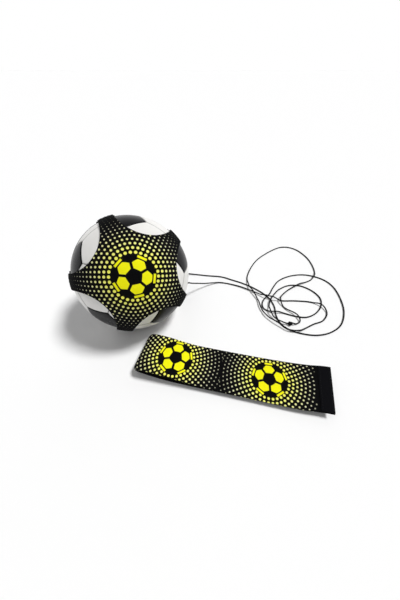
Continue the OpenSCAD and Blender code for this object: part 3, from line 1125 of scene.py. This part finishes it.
def makeArmThread(k):
    fromTunnel = coverForm["tunnelOuter"] + threadForm["armGap"]
    polar = coverForm["tunnelAngle"] - degrees(fromTunnel / coverForm["outer"])
    half = degrees((coverForm["armWidth"] / 2 - threadForm["inset"]) / coverForm["outer"])
    ends = []
    for places in stitchPlaces(half, threadForm["armCount"]):
        start, stop = (onStar(polar, armTurn(k) + place, coverForm["outer"]) for place in places)
        ends.append((start, stop, (start - ballMiddle).normalized()))
    piece = stitchRow(f"arm_thread_{k}", ends, threadForm["armSink"])
    dress(piece, "thread", thread)
    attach(piece, f"arm_{k}")
    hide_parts(f"arm_stitching_{k}")


def makeCover():
    middle = makeCoverMiddle()
    for k in armNumbers:
        arm = makeCoverArm(k)
        hem = makeHem(k)
        makeArmThread(k)


makeCover()
print("cover sewn")


# Belt

# Where a value has two parts, they are for the belt's near and far edges, unless a note says otherwise
beltForm = {
    "length": 0.347,  # as it lies folded
    "width": 0.084,
    "thick": 0.003,
    "upperHeight": (0.0115, 0.008),  # middle of the upper half where it lies flat
    "foldLift": (0.0165, 0.0125),  # how much higher the fold stands
    "foldReach": (0.014, 0.022),  # length in which the lower and the upper half roll into the fold
    "foldHeights": (0.0033, 0.0057),  # between these the lower half's motion turns into the upper half's
    "cornerPull": (0.0045, 0.8),  # how far the fold's corners draw in, and from which share of the width
    "settle": (0.15, 0.085),  # length in which the upper half comes down from the fold
    "endLift": (0.004, 0.0095),
    "endFrom": 0.28,  # where the free end starts to rise and swing
    "endSkew": (-0.0045, 0.0),  # how much further the free end reaches
    "upperShift": (-0.0015, 0.0012),  # how far the upper half lies behind its place, and its free end
    "lowerShift": (0.0085, 0.0025, 0.012),  # the lower half's, at the fold, halfway and at its end
    "lowerShort": 0.022,
    "wave": 0.0006,
    "waveSteps": (22, 14, 3.7),  # steps of the noise along and across, and its start
    "waveFrom": 0.05,
    "edgeRound": 0.0008,
    "rows": 90,
    "foldSteps": 24,
    "columns": 24,
}
beltAlong = Vector(hinge["belt_draw_out"]["axis"]).normalized()
beltAcross = up.cross(beltAlong)
foldPivot = Vector(hinge["belt_unfold"]["pos_m"])
beltOrigin = foldPivot - foldPivot.z * (beltAlong + up)


def onBelt(place):
    return beltOrigin + place.x * beltAlong + place.y * beltAcross + place.z * up


def between(pair, share):
    return pair[0] + (pair[1] - pair[0]) * share


# A value that differs between the near and the far edge, at a place across the belt
def edgeValue(key, across):
    return between(beltForm[key], 0.5 + across / beltForm["width"])


def endShare(along):
    return ease((along - beltForm["endFrom"]) / (beltForm["length"] - beltForm["endFrom"]))


# Height of the upper half's middle layer, which stands up at the fold
def upperMiddle(along, across):
    height = edgeValue("upperHeight", across) + edgeValue("endLift", across) * endShare(along)
    fromFold = along - beltForm["foldReach"][1]
    height += edgeValue("foldLift", across) * (1 - ease(fromFold / edgeValue("settle", across)))
    alongStep, acrossStep, start = beltForm["waveSteps"]
    wave = beltForm["wave"] * noise.noise(Vector((along * alongStep, across * acrossStep, start)))
    return height + wave * ease(fromFold / beltForm["waveFrom"])


# Places along, across and above the floor: in the upper half's middle layer, and in the lower half's
def upperPlace(along, across):
    end = endShare(along)
    reach = along + edgeValue("endSkew", across) * end
    return Vector((reach, across + between(beltForm["upperShift"], end), upperMiddle(along, across)))


def lowerPlace(along, across):
    first, halfway, last = beltForm["lowerShift"]
    off = 2 * along / beltForm["length"] - 1
    shift = halfway + (last - first) / 2 * off + ((first + last) / 2 - halfway) * off ** 4
    return Vector((along, across + shift, beltForm["thick"] / 2))


# The middle layer from the lower end round the fold to the upper end
def beltLayer(across):
    half = beltForm["thick"] / 2
    under, over = beltForm["foldReach"]
    radius = (upperMiddle(over, across) - half) / 2
    rows, steps = beltForm["rows"], beltForm["foldSteps"]
    lowerEnd = beltForm["length"] - beltForm["lowerShort"]
    pull, pullFrom = beltForm["cornerPull"]
    corner = max(0.0, (2 * abs(across) / beltForm["width"] - pullFrom) / (1 - pullFrom))
    layer = [lowerPlace(lowerEnd + (under - lowerEnd) * i / rows, across) for i in range(rows)]
    for i in range(steps + 1):
        turn = pi * i / steps
        reach = half + ((under if turn < pi / 2 else over) - half) * (1 - sin(turn))
        reach += pull * corner * corner * sin(turn)
        shift = between((lowerPlace(under, 0).y, beltForm["upperShift"][0]), ease(i / steps))
        layer.append(Vector((reach, across + shift, half + radius - radius * cos(turn))))
    length = beltForm["length"] - over
    return layer + [upperPlace(over + length * i / rows, across) for i in range(1, rows + 1)]


def makeBelt():
    columns, width = beltForm["columns"], beltForm["width"]
    half = beltForm["thick"] / 2
    outside, inside, coords = [], [], []
    layers = [beltLayer(width * (j / columns - 0.5)) for j in range(columns + 1)]
    count = len(layers[0])
    fold = beltForm["rows"] + beltForm["foldSteps"] // 2
    inMiddle = layers[columns // 2]
    for i in range(count):
        reach = lineLength(inMiddle[fold:i + 1]) if i > fold else -lineLength(inMiddle[i:fold + 1])
        for j, layer in enumerate(layers):
            way = layer[min(i + 1, count - 1)] - layer[max(i - 1, 0)]
            out = Vector((-way.z, 0, way.x)).normalized() * half
            outside.append(onBelt(layer[i] + out))
            inside.append(onBelt(layer[i] - out))
            coords.append((reach * mapUnits, width * mapUnits * (j / columns - 0.5)))
    faces = flipped(gridFaces(count, columns + 1))
    wider = 1 + 2 * beltForm["thick"] / width
    rimCoords = [(u, v * wider) for u, v in coords]
    piece = clothPiece("belt_cloth", outside, inside, faces, coords, set(), beltForm["edgeRound"], rimCoords)
    dress(piece, "belt_fabric", beltPrint, backing)
    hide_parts("belt_lower", "belt_fold", "belt_upper")
    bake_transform(piece)
    flatLength = lineLength(inMiddle)
    print("belt flat length", round(flatLength, 3))


makeBelt()


# Fastener

patchForm = {
    "thick": 0.001,
    "margin": 0.001,
    "loopLength": 0.022,
    "loopFuzz": 0.00018,  # height of the fuzz
    "loopStep": 0.0012,  # between the points of its mesh
    "loopRound": 0.0003,  # of its edges
    "fuzzSteps": (900, 1.3),  # steps of the noise for a metre, and its start
    "hookLength": 0.05,
    "hookStep": 0.004,
    "hookRound": 0.0002,
}
tapeLooks = {
    "loopTape": {"pale": (0.0055, 0.0055, 0.007, 1), "dark": (0.0018, 0.0018, 0.0026, 1), "scale": 1100},
    "hookTape": {"pale": (0.014, 0.014, 0.016, 1), "dark": (0.005, 0.005, 0.006, 1), "scale": 600},
}
patchWidth = beltForm["width"] - 2 * patchForm["margin"]


# A point above one half's upper side
def onUpper(along, across, above):
    return onBelt(upperPlace(along, across) + (beltForm["thick"] / 2 + above) * up)


def onLower(along, across, above):
    return onBelt(lowerPlace(along - beltForm["lowerShort"], across) + (beltForm["thick"] / 2 + above) * up)


# A patch of fastener tape on one half of the belt
def patchPiece(name, length, surface, fuzzHeight, step, edgeRound):
    rows, columns = round(length / step), round(patchWidth / step)
    fuzzStep, fuzzStart = patchForm["fuzzSteps"]
    outside, inside = [], []
    for i in range(rows + 1):
        along = beltForm["length"] - length + length * i / rows
        for j in range(columns + 1):
            across = patchWidth * (j / columns - 0.5)
            fuzz = fuzzHeight * noise.noise(Vector((along * fuzzStep, across * fuzzStep, fuzzStart)))
            outside.append(surface(along, across, patchForm["thick"] + fuzz))
            inside.append(surface(along, across, 0))
    faces = flipped(gridFaces(rows + 1, columns + 1))
    return clothPiece(name, outside, inside, faces, [(0, 0)] * len(outside), set(), edgeRound)


def makeTape(name):
    look = tapeLooks[name]
    finish = Finish(name, Roughness=0.9, Specular_IOR_Level=0.05)
    fuzz = finish.grain(look["scale"], 4.0)
    finish.paint(fuzz, look["dark"], look["pale"])
    finish.relief(fuzz, 0.0004, 0.8)
    return finish.material


def makePatchThread(name, node, length, surface, body):
    inset = threadForm["inset"]
    ends = []
    for along in (beltForm["length"] - length + inset, beltForm["length"] - inset):
        for places in stitchPlaces(patchWidth / 2 - inset, threadForm["patchCount"]):
            start, stop = (surface(along, across, patchForm["thick"]) for across in places)
            ends.append((start, stop, up))
    piece = stitchRow(name, ends, threadForm["patchSink"])
    dress(piece, "thread", thread)
    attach(piece, body)
    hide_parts(node)


def makeLoopPatch():
    length = patchForm["loopLength"]
    piece = patchPiece("loop_tape", length, onUpper, patchForm["loopFuzz"], patchForm["loopStep"],
                       patchForm["loopRound"])
    tape = makeTape("loopTape")
    dress(piece, "loop_tape", tape, tape)
    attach(piece, "belt_upper_half")
    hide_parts("belt_loop_patch")
    makePatchThread("loop_thread", "loop_stitching", length, onUpper, "belt_upper_half")


hookForm = {
    "rows": 20,
    "columns": 34,
    "height": 0.0009,
    "sink": 0.0001,  # how far a hook's foot goes into its tape
    "endGap": 0.006,
    "sideGap": 0.005,
    "bend": 0.62,  # half turns from foot to tip
    "lean": 0.45,  # how far it leans, as a share of its height
    "stops": (0, 0.35, 0.7, 1),
    "radii": (0.00017, 0.00016, 0.00014, 0.0001),
    "sides": 4,
}


# The hooks stand in rows on their tape and bend over at the top, to either side by turns
def makeHookPile(tape):
    rows, columns, height = hookForm["rows"], hookForm["columns"], hookForm["height"]
    width = patchWidth - 2 * hookForm["sideGap"]
    length = patchForm["hookLength"] - 2 * hookForm["endGap"]
    start = beltForm["length"] - hookForm["endGap"] - length
    points, faces = [], []
    for i in range(rows):
        for j in range(columns):
            across = width * (j / (columns - 1) - 0.5)
            foot = onLower(start + length * i / (rows - 1), across, patchForm["thick"] - hookForm["sink"])
            lean = (1 if (i + j) % 2 else -1) * height * hookForm["lean"]
            turns = [stop * hookForm["bend"] * pi for stop in hookForm["stops"]]
            line = [foot + up * (height * sin(turn)) + beltAlong * (lean * (1 - cos(turn))) for turn in turns]
            addRod(points, faces, line, hookForm["radii"], hookForm["sides"])
    pile = newPiece("hook_pile", points, faces, sharp=60)
    dress(pile, "hook_tape", tape)
    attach(pile, "belt_lower_half")


def makeHookPatch():
    length = patchForm["hookLength"]
    tape = makeTape("hookTape")
    piece = patchPiece("hook_tape", length, onLower, 0.0, patchForm["hookStep"], patchForm["hookRound"])
    dress(piece, "hook_tape", tape, tape)
    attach(piece, "belt_lower_half")
    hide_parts("belt_hook_patch")
    makeHookPile(tape)
    makePatchThread("hook_thread", "hook_stitching", length, onLower, "belt_lower_half")


makeLoopPatch()
makeHookPatch()
print("belt folded")


# Floor and light

stageForm = {
    "floorReach": 40.0,
    "floorDrop": 0.0003,  # keeps the floor clear of what lies on it
    "floorShade": 0.93,
    "floorGlow": 0.03,  # brings the lit floor up to white for the camera
    "ambient": 0.12,
    "ceiling": (8, 34),  # degrees up at which the white walls end and the grey ceiling begins
    "ceilingShade": 0.4,
    "lampDistance": 2,
    "key": {"compass": 2, "height": 62, "strength": 0.85, "spread": 14, "mirrored": True},
    "fill": {"compass": -150, "height": 65, "strength": 0.14, "spread": 60, "mirrored": False},
    "back": {"compass": 75, "height": 45, "strength": 0.06, "spread": 60, "mirrored": False},
}


# 1 where the camera sees a surface itself, in a mirror or through glass, and 0 where it only lights the rest
def seenDirectly(nodes):
    rays = ("Is Camera Ray", "Is Glossy Ray", "Is Transmission Ray")
    camera, glossy, clear = (nodes.node("ShaderNodeLightPath", {}, {}, ray) for ray in rays)
    return camera.use("MAXIMUM", glossy).use("MAXIMUM", clear)


def makeFloor():
    reach, drop, shade = stageForm["floorReach"], stageForm["floorDrop"], stageForm["floorShade"]
    mesh = bpy.data.meshes.new("floor")
    corners = [(x * reach, y * reach, -drop) for x, y in ((-1, -1), (1, -1), (1, 1), (-1, 1))]
    mesh.from_pydata(corners, [], [(0, 1, 2, 3)])
    floor = bpy.data.objects.new("floor", mesh)
    bpy.context.scene.collection.objects.link(floor)
    material = bpy.data.materials.new("paleFloor")
    nodes = Nodes(material, "ShaderNodeOutputMaterial")
    matt = nodes.node("ShaderNodeBsdfDiffuse", {}, {"Color": (shade, shade, shade, 1)})
    glow = nodes.node("ShaderNodeEmission", {}, {"Strength": seenDirectly(nodes) * stageForm["floorGlow"]})
    nodes.show(nodes.node("ShaderNodeAddShader", {}, (matt, glow)))
    mesh.materials.append(material)


def makeWorld():
    world = bpy.data.worlds.new("studio")
    bpy.context.scene.world = world
    nodes = Nodes(world, "ShaderNodeOutputWorld")
    wall, ceiling = (sin(radians(height)) for height in stageForm["ceiling"])
    height = nodes.node("ShaderNodeTexCoord", {}, {}, "Generated").part(2)
    walls = {"Value": height, "From Min": wall, "From Max": ceiling, "To Min": 1.0,
             "To Max": stageForm["ceilingShade"]}
    shade = nodes.node("ShaderNodeMapRange", {}, walls)
    seen = {"Value": seenDirectly(nodes), "To Min": stageForm["ambient"], "To Max": shade}
    strength = nodes.node("ShaderNodeMapRange", {}, seen)
    nodes.show(nodes.node("ShaderNodeBackground", {}, {"Color": (1, 1, 1, 1), "Strength": strength}))


def makeLamp(name):
    look = stageForm[name]
    data = bpy.data.lights.new(name + "Lamp", "SUN")
    data.energy = look["strength"] * pi
    data.angle = radians(look["spread"])
    lamp = bpy.data.objects.new(name + "Lamp", data)
    compass, height = radians(look["compass"]), radians(look["height"])
    toward = Vector((cos(height) * cos(compass), cos(height) * sin(compass), sin(height)))
    lamp.rotation_euler = toward.to_track_quat("Z", "Y").to_euler()
    lamp.location = toward * stageForm["lampDistance"]
    lamp.visible_glossy = look["mirrored"]
    bpy.context.scene.collection.objects.link(lamp)


makeFloor()
makeWorld()
for lampName in ("key", "fill", "back"):
    makeLamp(lampName)
bpy.context.scene.view_settings.view_transform = "Standard"
print("stage lit")
